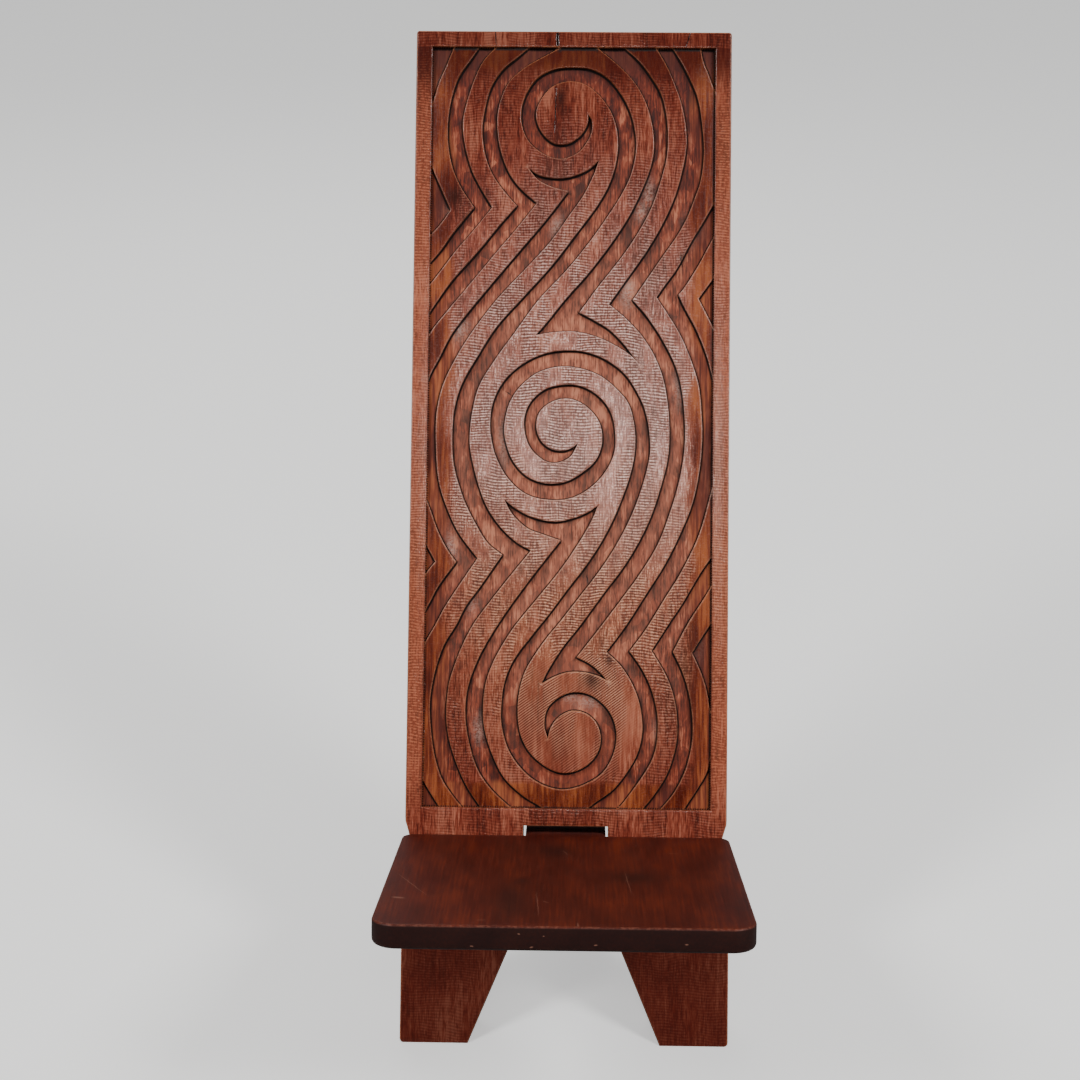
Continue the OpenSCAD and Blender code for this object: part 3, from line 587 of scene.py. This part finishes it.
    # Groove floors, streaked along the grain, broken up by the gouge's chips, and paler with painted sheen
    # in the middle
    chips = put(tree, "Mapping", {
        "Vector": swayed(tree, space, 12, 9.0), "Scale": (1 / CHIP_W, 1 / CHIP_H, 1 / CHIP_W)})
    chips = put(tree, "TexVoronoi", {"Vector": chips, "Scale": 1.0, "Randomness": 1.0}, out=1)
    chip = put(tree, "SeparateXYZ", {"Vector": chips})
    chip = put(tree, "MapRange", {0: chip, 3: -0.045, 4: 0.045})
    cut = weighed(tree, (smear, 0.4), (streak, 0.3), (thread, 0.3), (middle, 0.025), (chip, 1.0))
    floor = put(tree, "ValToRGB", {"Fac": cut}, stops=FLOOR_TONES)
    floor = layered(tree, floor, (product(tree, middle, 0.32), FLOOR_SHEEN))
    fibre = put(tree, "MapRange", {0: thread, 1: 0.37, 2: 0.46, 3: 0.45, 4: 0.0}, **SMOOTH)
    inked = put(tree, "MapRange", {0: front, 3: 0.35})
    # Painted glints on the burnished facets, broken up by flecks
    broken = put(tree, "MapRange", {0: fleck, 1: 0.38, 2: 0.56, 3: 0.1, 4: 0.75})

    # Smooth rim, stained more orange, with long streaks
    flame = weighed(tree, (streak, 0.5), (patch, 0.5))
    rim = put(tree, "ValToRGB", {"Fac": flame}, stops=RIM_TONES)

    # Redness and painted shade on the feet under the seat, cracks, painted shade and grime in the corners,
    # and pale wear with painted highlights on the cut edges
    red = put(tree, "MapRange", {0: y, 1: FEET_SHADE_TO, 2: FEET_SHADE_END, 3: 0.6, 4: 0.0}, **SMOOTH)
    crack = marks(tree, swayed(tree, space, 5, 2.0), CRACKS)
    # Pale wear on the edges, partly a painted highlight, near white within the painted sheen of the middle
    rubbed = put(tree, "MapRange", {0: fleck, 1: 0.38, 2: 0.54, 3: 0.2, 4: 0.95})
    edge = layered(tree, hexa(EDGE_WEAR_AND_HIGHLIGHT), (middle, sheen_colour))
    colour = layered(
        tree, face,
        (groove, floor),
        (product(tree, fibre, inked), FIBRE),
        (product(tree, broken, burnished), FACET_GLINT),
        (product(tree, smooth, 0.85), rim),
        (border_wear(tree, x, y, row, front), BORDER_WEAR),
        (top_darkening(tree, y, front), TOP_DARK),
        (red, FEET_RED_AND_SHADE),
        (product(tree, stained, 0.8), SOAKED),
        (largest(tree, corner, crack), SHADE_AND_GRIME_TONE),
        (product(tree, rubbed, worn), edge))

    # Only the crests shine. Pits, troughs, cut floors, corners and edges are duller
    pits = put(tree, "MapRange", {0: thread, 1: 0.38, 2: 0.52, 3: 1.0, 4: 0.0}, **SMOOTH)
    gaps = put(tree, "MapRange", {0: dashes, 1: 0.36, 2: 0.5, 3: 1.0, 4: 0.0}, **SMOOTH)
    pits = product(tree, largest(tree, pits, gaps, trough), 0.25)
    gloss = put(tree, "MapRange", {0: largest(tree, pits, groove), 3: 0.13, 4: 0.55})
    rear = put(tree, "Math", {0: 1.0, 1: front}, operation="SUBTRACT")
    gloss = weighed(
        tree, (smooth, 0.08), (burnished, -0.35), (rear, 0.45), (largest(tree, corner, worn), 0.35),
        start=gloss)

    # Relief in mm: saw marks, raised grain, shallow facets from the gouge, and cracks
    facets = product(tree, smear, groove)
    height = weighed(tree, (sawn, 0.04), (thread, 0.12), (facets, 0.4), (crack, -0.3))
    finish_wood(tree, colour, gloss, height, 0.35)
    return made


def seat_wood():
    """The same wood, planed, stained dark red-brown and polished by use.

    It looks smooth and deep in colour, with faint grain from front to back and
    stains, a soft shine, fine scratches and pale rubbed edges. The tail behind
    the back plank was never polished, so it is dull.
    """
    made, tree = blank("seat_wood")
    space = board_space(tree, SLOPE, (
        0,
        SEAT_Z * np.sin(SLOPE) - SEAT_Y * np.cos(SLOPE),
        -SEAT_Y * np.sin(SLOPE) - SEAT_Z * np.cos(SLOPE)))
    y = put(tree, "SeparateXYZ", {"Vector": space}, out=1)
    worn, side, stained = (
        put(tree, "Attribute", attribute_name=name, out=2) for name in ("worn", "side", "stained"))

    mottle = stretched(tree, space, (40, 90, 40), detail=4, rough=0.55)
    grain = stretched(tree, space, (2.5, 80, 3), detail=5, rough=0.65)
    fleck = stretched(tree, space, (4, 2.5, 3), detail=3, rough=0.6)
    tone = weighed(tree, (mottle, 0.5), (grain, 0.5))
    colour = put(tree, "ValToRGB", {"Fac": tone}, stops=SEAT_TONES)
    scratch = product(tree, marks(tree, swayed(tree, space, 9, 3.0), SCRATCHES), 0.4)
    front = put(tree, "Mapping", {
        "Vector": space, "Rotation": (-np.pi / 2, 0, 0), "Location": (0, 0, -SEAT_DEPTH)})
    nick = product(tree, marks(tree, front, NICKS), 0.6)
    rubbed = put(tree, "MapRange", {0: fleck, 1: 0.46, 2: 0.62, 3: 0.1, 4: 0.7})
    colour = layered(
        tree, colour,
        (product(tree, stained, 0.7), SEAT_SOAKED),
        (side, SEAT_SIDE),
        (largest(tree, scratch, nick), SEAT_SCRATCH),
        (product(tree, rubbed, worn), SEAT_EDGE))
    gloss = put(tree, "MapRange", {0: mottle, 1: 0.3, 2: 0.7, 3: 0.46, 4: 0.52})
    tail = put(tree, "MapRange", {0: y, 2: 12.0})
    gloss = put(tree, "Mix", {0: tail, 2: gloss, 3: 0.9})
    height = weighed(tree, (grain, 0.06), (mottle, 0.15))
    finish_wood(tree, colour, gloss, height, 0.3)
    return made


def pale_floor():
    """Matt painted floor. The camera sees it pale; it throws back a plainer light."""
    made, tree = blank("pale_floor")
    seen = put(tree, "LightPath")
    tone = layered(tree, hexa(PLAIN_FLOOR), (seen, SEEN_FLOOR))
    shader = put(tree, "BsdfDiffuse", {"Color": tone})
    glow = put(tree, "Emission", {"Strength": product(tree, seen, FLOOR_GLOW)})
    both = put(tree, "AddShader", {0: shader, 1: glow})
    put(tree, "OutputMaterial", {"Surface": both})
    return made


def room_light():
    """Even light from all round, dimmer overhead. The camera sees a plain pale room."""
    world = bpy.data.worlds.new("room")
    world.use_nodes = True
    tree = world.node_tree
    tree.nodes.clear()
    towards = put(tree, "TexCoord")
    rise = put(tree, "SeparateXYZ", {"Vector": towards}, out=2)
    strength = put(tree, "MapRange", {0: rise, 1: 0.05, 2: 0.25, 3: ROOM_LOW, 4: ROOM_HIGH}, **SMOOTH)
    strength = put(tree, "Mix", {0: put(tree, "LightPath"), 2: strength, 3: ROOM_SEEN})
    shader = put(tree, "Background", {"Color": hexa("#ffffff"), "Strength": strength})
    put(tree, "OutputWorld", {"Surface": shader})
    bpy.context.scene.world = world


# outlines


def paced(points, step):
    """An open line resampled at even steps of about step along its length, without its last point."""
    points = np.asarray(points, float)
    run = np.concatenate([[0], np.cumsum(np.linalg.norm(np.diff(points, axis=0), axis=1))])
    count = max(1, round(run[-1] / step))
    stops = np.linspace(0, run[-1], count + 1)[:-1]
    return np.column_stack([np.interp(stops, run, points[:, 0]), np.interp(stops, run, points[:, 1])])


def paced_loop(corners, step):
    """A closed line through the corners, resampled side by side."""
    return np.vstack([paced([a, b], step) for a, b in zip(corners, np.roll(corners, -1, axis=0))])


def arc(x, y, r, start, end, count=24):
    """Points on a circle of radius r about (x, y), from start to end in degrees."""
    a = np.radians(np.linspace(start, end, count))
    return np.column_stack([x + r * np.cos(a), y + r * np.sin(a)])


def curved(points, step):
    """A smooth curve through points: on each span from b to c, between a and d, the Catmull-Rom cubic."""
    p = np.array(points, float)
    q = np.vstack([2 * p[0] - p[1], p, 2 * p[-1] - p[-2]])
    a, b, c, d = (part[:, None] for part in (q[:-3], q[1:-2], q[2:-1], q[3:]))
    t = np.linspace(0, 1, 13)[None, :-1, None]
    spans = b + ((c - a) + ((2 * a - 5 * b + 4 * c - d) + (3 * b - a - 3 * c + d) * t) * t) * t / 2
    return paced(np.vstack([spans.reshape(-1, 2), p[-1]]), step)


def offset(loop, distance):
    """A closed line moved to its left: each point moves along the mean of the normals on its two sides."""
    ahead = np.roll(loop, -1, axis=0) - loop
    ahead /= np.linalg.norm(ahead, axis=1)[:, None]
    normal = np.column_stack([-ahead[:, 1], ahead[:, 0]])
    mean = normal + np.roll(normal, 1, axis=0)
    mean /= np.maximum((mean ** 2).sum(axis=1), 1.0)[:, None] / 2
    return loop + distance * mean


def turned(loop):
    """The closed line run anticlockwise, so that its inside is on its left."""
    x, y = loop.T
    return loop if (x * np.roll(y, -1) - y * np.roll(x, -1)).sum() > 0 else loop[::-1]


def groove_outline(edges):
    """A groove's closed outline: its edges as smooth curves, one after the other, on the plank."""
    return turned(np.vstack([curved(edge, GROOVE_STEP) for edge in edges]) + (0, PANEL_BOTTOM))


def nearest(points, samples, band=40.0):
    """Distance from each point to the nearest sample, and that sample's number, band by band along y."""
    distance = np.full(len(points), np.inf)
    number = np.zeros(len(points), int)
    for low in np.arange(points[:, 1].min(), points[:, 1].max() + band, band):
        here = np.flatnonzero((points[:, 1] >= low) & (points[:, 1] < low + band))
        near = np.flatnonzero((samples[:, 1] > low - REACH) & (samples[:, 1] < low + band + REACH))
        if len(here) and len(near):
            gap = ((points[here, None] - samples[None, near]) ** 2).sum(axis=2)
            pick = gap.argmin(axis=1)
            distance[here] = np.sqrt(gap[np.arange(len(here)), pick])
            number[here] = near[pick]
    return distance, number


def clear_of(points, samples, gap):
    """The points that lie more than gap away from every sample."""
    return points[nearest(points, samples)[0] > gap]


def edge_distance(points, samples, tangents):
    """Distance to the curve through samples, measured across the tangent at the nearest one.

    Past the end of an edge it is the straight distance to that sample. Also how
    far the nearest edge faces down, from 1 at the top of a groove to -1 at its bottom.
    """
    distance, number = nearest(points, samples)
    reach = points - samples[number]
    t = tangents[number]
    across = abs(reach[:, 0] * t[:, 1] - reach[:, 1] * t[:, 0])
    along = abs((reach * t).sum(axis=1))
    return np.where((along < 1.5) & np.isfinite(distance), across, distance), -t[:, 0]


def lattice(low, high, step):
    """Points step apart in rows, every other row shifted by half a step."""
    x, y = np.meshgrid(np.arange(low[0], high[0], step), np.arange(low[1], high[1], step * 0.87))
    x[1::2] += step / 2
    return np.column_stack([x.ravel(), y.ravel()])


# boards


def sheet(loops, extra):
    """Triangles that fill the first loop outside the second one, through every loop and extra point.

    Returns the points, the triangles, and for each triangle the loops it lies in.
    """
    starts = np.cumsum([0] + [len(loop) for loop in loops])
    areas = [list(range(a, b)) for a, b in zip(starts[:-1], starts[1:])]
    points = np.vstack([*(turned(loop) for loop in loops), extra])
    made = delaunay_2d_cdt([Vector(p) for p in points], [], areas, 1, 1e-4, True)
    inside = [i for i, of in enumerate(made[5]) if 0 in of and 1 not in of]
    return np.array(made[0]), np.array(made[2])[inside], [made[5][i] for i in inside]


def wall(loop, profile):
    """The loop carried down the profile of (inset, depth): its points, and two triangles for each cell."""
    points = np.vstack([
        np.column_stack([offset(loop, inset), np.full(len(loop), depth)]) for inset, depth in profile])
    k = np.arange(len(loop))
    nxt = np.roll(k, -1)
    quads = np.vstack([
        np.column_stack([k, k + len(loop), nxt + len(loop), nxt]) + j * len(loop)
        for j in range(len(profile) - 1)])
    return points, np.vstack([quads[:, [0, 1, 2]], quads[:, [0, 2, 3]]])


def edge_profile(thick, top_r, bottom_r, steps=4):
    """Profile of a board's side as (inset, depth): a quarter round, a flat, and a quarter round."""
    a = np.linspace(0, np.pi / 2, steps)
    top = np.column_stack([top_r * (1 - np.sin(a)), top_r * (1 - np.cos(a))])
    flat = np.column_stack([np.zeros(2), np.linspace(top_r, thick - bottom_r, 4)[1:3]])
    bottom = np.column_stack([bottom_r * (1 - np.cos(a)), thick - bottom_r * (1 - np.sin(a))])
    return [tuple(row) for row in np.vstack([top, flat, bottom])]


def rounded(profile):
    """How far each row of an edge profile lies on a round: 1 on it, and 0 on the flat and at its end."""
    inset = np.array(profile)[:, 0]
    return np.where((inset > 0.01) & (inset < inset.max()), 1.0, 0.0)


def flat_part(points, triangles, depth, **attributes):
    """A part for joined() from flat points, a depth for each, and attributes, each a number or an array."""
    spread = {
        key: np.broadcast_to(np.asarray(value, float), len(points)) for key, value in attributes.items()}
    depth = np.broadcast_to(depth, len(points))
    return np.column_stack([points[:, :2], depth]), triangles, spread


def joined(parts):
    """One surface from parts of (points, triangles, attributes), with points that coincide made one."""
    shifts = np.cumsum([0] + [len(part[0]) for part in parts])
    points = np.vstack([part[0] for part in parts])
    triangles = np.vstack([part[1] + shift for part, shift in zip(parts, shifts)])
    names = parts[0][2]
    values = {name: np.concatenate([part[2][name] for part in parts]) for name in names}
    _, first, same = np.unique(np.round(points, 2), axis=0, return_index=True, return_inverse=True)
    triangles = first[same.ravel()[triangles]]
    triangles = triangles[(np.diff(np.sort(triangles, axis=1), axis=1) > 0).all(axis=1)]
    used, triangles = np.unique(triangles, return_inverse=True)
    return points[used], triangles.reshape(-1, 3), {name: value[used] for name, value in values.items()}


def solid(name, points, triangles, attributes, material, crease=48):
    """A mesh object from points in metres, with its attributes, shaded smooth below the crease angle."""
    mesh = bpy.data.meshes.new(name)
    mesh.from_pydata(points.tolist(), [], triangles.tolist())
    for key, value in attributes.items():
        mesh.attributes.new(key, "FLOAT", "POINT").data.foreach_set("value", value.astype(np.float32))
    mesh.materials.append(material)
    mesh.shade_smooth()
    mesh.set_sharp_from_angle(angle=np.radians(crease))
    mesh.update()
    obj = bpy.data.objects.new(name, mesh)
    bpy.context.collection.objects.link(obj)
    return obj


# back plank


def side_x(y):
    """Half width of the back plank at height y: straight flanks with a circular scallop at the waist."""
    flank = np.interp(y, [WAIST_BOTTOM, WAIST_TOP], [FEET_W / 2, BACK_W / 2])
    chord = (WAIST_TOP - WAIST_BOTTOM) / 2
    r = (chord ** 2 + WAIST_DEPTH ** 2) / (2 * WAIST_DEPTH)
    centre = (BACK_W + FEET_W) / 4 - WAIST_DEPTH + r
    scallop = centre - np.sqrt(np.maximum(r ** 2 - (y - WAIST_BOTTOM - chord) ** 2, 0))
    return np.where(abs(y - WAIST_BOTTOM - chord) < r, np.minimum(flank, scallop), flank)


def arch_x(y):
    """Half width of the arch at height y along its sloping side."""
    return ARCH_W / 2 - y * np.tan(FLARE)


def back_outline():
    """The plank's outline from the right foot, up, over the top, down and round the arch."""
    y = np.linspace(FOOT_CORNER_R, BACK_LEN - TOP_CORNER_R, 700)
    right = np.column_stack([side_x(y), y])
    foot_x = FEET_W / 2 - FOOT_CORNER_R
    foot_corner = arc(foot_x, FOOT_CORNER_R, FOOT_CORNER_R, -90, 0)
    top_x, top_y = BACK_W / 2 - TOP_CORNER_R, BACK_LEN - TOP_CORNER_R
    top = np.vstack([
        arc(top_x, top_y, TOP_CORNER_R, 0, 90),
        arc(-top_x, top_y, TOP_CORNER_R, 90, 180)])
    corner_y = ARCH_H - ARCH_R
    corner_x = ARCH_W / 2 - ARCH_R / np.cos(FLARE) - corner_y * np.tan(FLARE)
    flare = np.degrees(FLARE)
    arch = np.vstack([
        [[-ARCH_W / 2, 0]],
        arc(-corner_x, corner_y, ARCH_R, 180 - flare, 90),
        arc(corner_x, corner_y, ARCH_R, 90, flare),
        [[ARCH_W / 2, 0]]])
    return np.vstack([
        paced(foot_corner, CORNER_STEP),
        paced(right, FLANK_STEP),
        paced(top, CORNER_STEP),
        paced([-1, 1] * right[::-1], FLANK_STEP),
        paced([-1, 1] * foot_corner[::-1], CORNER_STEP),
        paced([[-foot_x, 0], [-ARCH_W / 2, 0]], FLANK_STEP),
        paced(arch, EDGE_STEP),
        paced([[ARCH_W / 2, 0], [foot_x, 0]], FLANK_STEP)])


def slot_outline():
    """The slot's outline, run clockwise so that the wood is on its left."""
    corners = [[SLOT_X, SLOT_BOTTOM], [-SLOT_X, SLOT_BOTTOM], [-SLOT_X, SLOT_TOP], [SLOT_X, SLOT_TOP]]
    return paced_loop(corners, EDGE_STEP)


def panel_outline(inset):
    """The carved panel's outline, moved in by inset."""
    x, bottom, top = PANEL_X - inset, PANEL_BOTTOM + inset, PANEL_TOP - inset
    return paced_loop([[-x, bottom], [x, bottom], [x, top], [-x, top]], RIM_STEP)


def panel_depth(points):
    """Distance inside the panel's edge, negative outside it."""
    x, y = points.T
    return np.minimum(PANEL_X - abs(x), np.minimum(y - PANEL_BOTTOM, PANEL_TOP - y))


def bells(x, y, spots):
    """Spots given by middle and half sizes: 1 in the middle of each, fading as a bell curve."""
    return np.max([np.exp(-((x - a) / w) ** 2 - ((y - b) / h) ** 2) for a, b, w, h in spots], axis=0)


def shadow_line(inside, width):
    """Painted shade and grime along the foot of a wall: full from 0.4 mm inside the edge to width, fading
    over 0.6 mm.
    """
    return np.clip(inside / 0.4, 0, 1) * np.clip((width + 0.6 - inside) / 0.6, 0, 1)


def sheet_points(outline, slot, grooves, samples):
    """Points that fill the front face: rows along every cut edge, and lattices that keep clear of them.

    A row's point is left out where another edge comes nearer than its own.
    """
    rows = np.vstack([offset(loop, d) for loop in grooves for d in STEPS])
    away = np.concatenate([np.full(len(loop), abs(d)) for loop in grooves for d in STEPS])
    rows = rows[nearest(rows, samples)[0] > away * 0.93]
    grid = lattice((-PANEL_X, PANEL_BOTTOM), (PANEL_X, PANEL_TOP), PANEL_STEP)
    inner = np.vstack([rows, clear_of(grid, samples, PANEL_CLEAR)])
    inner = inner[panel_depth(inner) > WALL[3] + 0.5]
    plain = lattice((-FEET_W / 2, 0), (FEET_W / 2, BACK_LEN), PLAIN_STEP)
    plain = plain[panel_depth(plain) < STEPS[0] - 3]
    plain = clear_of(clear_of(plain, outline, PLAIN_CLEAR), slot, PLAIN_CLEAR)
    return np.vstack([inner, *(panel_outline(d) for d in STEPS), plain])


def carved_sheet(outline, slot):
    """The back's front face. Depth = wall(panel) * (field + wall(groove) * (floor - field)).

    wall() rises from 0 to 1 across each cut edge. The field slopes down towards
    the border, and each floor is a shallow bowl, deeper away from its edges.
    """
    grooves = [groove_outline(edges) for edges in GROOVES.values()]
    samples = np.vstack(grooves)
    tangents = np.vstack([np.roll(loop, -1, axis=0) - np.roll(loop, 1, axis=0) for loop in grooves])
    tangents /= np.linalg.norm(tangents, axis=1)[:, None]
    points, triangles, loops_of = sheet(
        [outline, slot, panel_outline(0), *grooves], sheet_points(outline, slot, grooves, samples))

    # A point that only groove triangles meet is inside, one that none meets is outside
    cut = np.array([2 in of and max(of) > 2 for of in loops_of])
    met = np.bincount(triangles.ravel(), minlength=len(points))
    met_cut = np.bincount(triangles[cut].ravel(), minlength=len(points))
    sign = np.where(met_cut == 0, -1.0, np.where(met_cut == met, 1.0, 0.0))
    far, down = edge_distance(points, samples, tangents)
    inside = sign * np.minimum(far, REACH)
    from_rim = panel_depth(points)
    within = from_rim > 0

    # The gouge leaves ripples on the floors, about 20 by 27 mm, that bend
    x, y = points.T
    into_panel = np.interp(from_rim, WALL, WALL_DROP)
    into_groove = np.interp(inside, WALL, WALL_DROP)
    field = RIM_DROP * (1 - np.clip(from_rim / RIM_W, 0, 1)) ** RIM_CURVE
    bowl = BOWL_D * (1 - (1 - np.clip(inside / BOWL_W, 0, 1)) ** 2)
    gouged = GOUGE_D * np.sin(x / 3.1 + 2 * np.sin(y / 23)) * np.sin(y / 4.3 + 2 * np.sin(x / 17))
    floor = np.maximum(GROOVE_D, field + GROOVE_LEAST) + bowl + gouged * np.clip(inside / 3, 0, 1)
    depth = into_panel * (field + into_groove * (floor - field))

    # The smooth rim ends in a wavy line, soft at the sides and top, crisp at the bottom
    wavy = 5 * np.sin(x / 9 + np.sin(y / 31)) * np.sin(y / 17 + np.sin(x / 21))
    softness = np.where(y - PANEL_BOTTOM < from_rim + 0.1, 2.5, 9.0)
    smooth = into_panel * np.clip((RIM_W - from_rim + wavy * softness / 9) / softness, 0, 1)

    # Painted shade and grime lie along the foot of each wall, widest under edges that face down
    # Edge wear, partly a painted highlight, is strongest on edges that face up
    foot = shadow_line(inside, 1.55 + 0.6 * down) * within
    rim_width = np.where(PANEL_X - x < from_rim + 0.1, 2.2, 1.2)
    rim_foot = shadow_line(from_rim, np.where(PANEL_TOP - y < from_rim + 0.1, 2.8, rim_width))
    arris = np.interp(inside, ARRIS, ARRIS_WEAR_AND_HIGHLIGHT) * within * (0.65 - 0.35 * down)
    rim_arris = 0.2 * np.interp(from_rim, ARRIS, ARRIS_WEAR_AND_HIGHLIGHT)
    return flat_part(
        points, triangles, depth,
        groove=into_groove * within,
        corner=np.maximum(foot, rim_foot),
        worn=np.maximum(arris, rim_arris),
        smooth=smooth,
        burnished=bells(x, y, GLINT_FACETS) * into_groove,
        stained=bells(x, y, STAINS))


def floor_cut(points):
    """Slides the wood above the floor: at the foot y rises by depth * tan(lean).

    The rise fades out at FLOOR_CUT_H, and near the arch it runs along the arch's sloping side.
    """
    x, y, depth = points.T
    rise = depth * np.tan(LEAN) * np.clip(1 - y / FLOOR_CUT_H, 0, 1)
    share = np.clip((FEET_W / 2 - abs(x)) / (FEET_W / 2 - arch_x(y)), 0, 1)
    return np.column_stack([x - np.sign(x) * np.tan(FLARE) * rise * share, y + rise, depth])


def lean_back(points):
    """From the plank's x, height along its face and depth behind it to metres in the room."""
    x, y, depth = points.T
    return MM * np.column_stack([
        x,
        FOOT_Y + y * np.sin(LEAN) + depth * np.cos(LEAN),
        y * np.cos(LEAN) - depth * np.sin(LEAN)])


def make_back(material):
    """The carved front face, the walls of the outline and the slot, and a plain rear face."""
    loops = [
        (back_outline(), edge_profile(BACK_T, *BACK_EDGES)),
        (slot_outline(), edge_profile(BACK_T, *SLOT_EDGES)),
    ]
    plain = dict(groove=0, corner=0, smooth=0, burnished=0, stained=0)
    parts = [carved_sheet(*(offset(loop, rows[0][0]) for loop, rows in loops))]
    for loop, rows in loops:
        points, triangles = wall(loop, rows)
        worn = np.repeat(rounded(rows), len(loop))
        parts.append(flat_part(points, triangles, points[:, 2], worn=worn, **plain))
    ends = [offset(loop, rows[-1][0]) for loop, rows in loops]
    grid = lattice((-FEET_W / 2, 0), (FEET_W / 2, BACK_LEN), REAR_STEP)
    points, triangles, _ = sheet(ends, clear_of(clear_of(grid, ends[0], REAR_CLEAR), ends[1], REAR_CLEAR))
    parts.append(flat_part(points, triangles[:, ::-1], BACK_T, worn=0, **plain))
    points, triangles, attributes = joined(parts)
    return solid("carved_back", lean_back(floor_cut(points)), triangles, attributes, material)


# seat plank


def seat_outline():
    """Front edge, right side, right shoulder, tongue and tail, and back along the left."""
    front, rear, tongue = SEAT_FRONT_W / 2, SEAT_BACK_W / 2, TONGUE_W / 2
    half = np.vstack([
        arc(front - FRONT_R, FRONT_R - SEAT_DEPTH, FRONT_R, -90, 0),
        arc(rear - REAR_R, -REAR_R, REAR_R, 0, 90),
        [[tongue, -SHOULDER_GAP], [tongue, TAIL_LEN]]])
    half[:, 1] = np.where(half[:, 0] > tongue, np.minimum(half[:, 1], -SHOULDER_GAP), half[:, 1])
    return paced_loop(np.vstack([half, [-1, 1] * half[::-1]]), EDGE_STEP)


def shoulder_bevel(points):
    """Slants the shoulders along the back plank and thins the tail where it rests on the floor."""
    x, y, depth = points.T
    near = np.clip(1 - abs(y + SHOULDER_GAP) / SHOULDER_REACH, 0, 1)
    floor = (SEAT_Z - y * np.sin(SLOPE)) / np.cos(SLOPE)
    return np.column_stack([
        x, y - depth * np.tan(CROSS) * near, depth * np.clip(floor / SEAT_T, 0, 1)])


def tilt_seat(points):
    """From the seat's x, distance behind the seat line, and depth below its top, to metres in the room."""
    x, y, depth = points.T
    return MM * np.column_stack([
        x,
        SEAT_Y + y * np.cos(SLOPE) - depth * np.sin(SLOPE),
        SEAT_Z - y * np.sin(SLOPE) - depth * np.cos(SLOPE)])


def make_seat(material):
    """A wall along the outline, and flat faces on top and below. Its side turns dark below the top edge."""
    outline = seat_outline()
    profile = edge_profile(SEAT_T, *SEAT_EDGES, steps=6)
    points, triangles = wall(outline, profile)
    side = np.clip((points[:, 2] - 0.8) / 1.6, 0, 1) * 0.85
    worn = np.interp(points[:, 2], SEAT_WEAR_AT, SEAT_WEAR)
    parts = [flat_part(points, triangles, points[:, 2], worn=worn, side=side, stained=0)]
    faces = (profile[0][0], 0, SEAT_TOP_STEP, 1), (profile[-1][0], SEAT_T, SEAT_UNDER_STEP, -1)
    for inset, depth, step, flip in faces:
        loop = offset(outline, inset)
        grid = lattice((-SEAT_FRONT_W / 2, -SEAT_DEPTH), (SEAT_FRONT_W / 2, TAIL_LEN), step)
        points, triangles, _ = sheet([loop], clear_of(grid, loop, PLAIN_CLEAR))
        stained = bells(*points.T, SEAT_STAINS) * (depth == 0)
        parts.append(flat_part(points, triangles[:, ::flip], depth, worn=0, side=0, stained=stained))
    points, triangles, attributes = joined(parts)
    return solid("seat_board", tilt_seat(shoulder_bevel(points)), triangles, attributes, material)


# assembly

room_light()
ground = solid(
    "ground", FLOOR_HALF * np.array([[-1, -1, 0], [1, -1, 0], [1, 1, 0], [-1, 1, 0]], float),
    np.array([[0, 1, 2], [0, 2, 3]]), {}, pale_floor())

carved_back = make_back(carved_wood())
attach(carved_back, "back")
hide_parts("back_plank")

seat_board = make_seat(seat_wood())
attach(seat_board, "seat")
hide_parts("seat_plank")
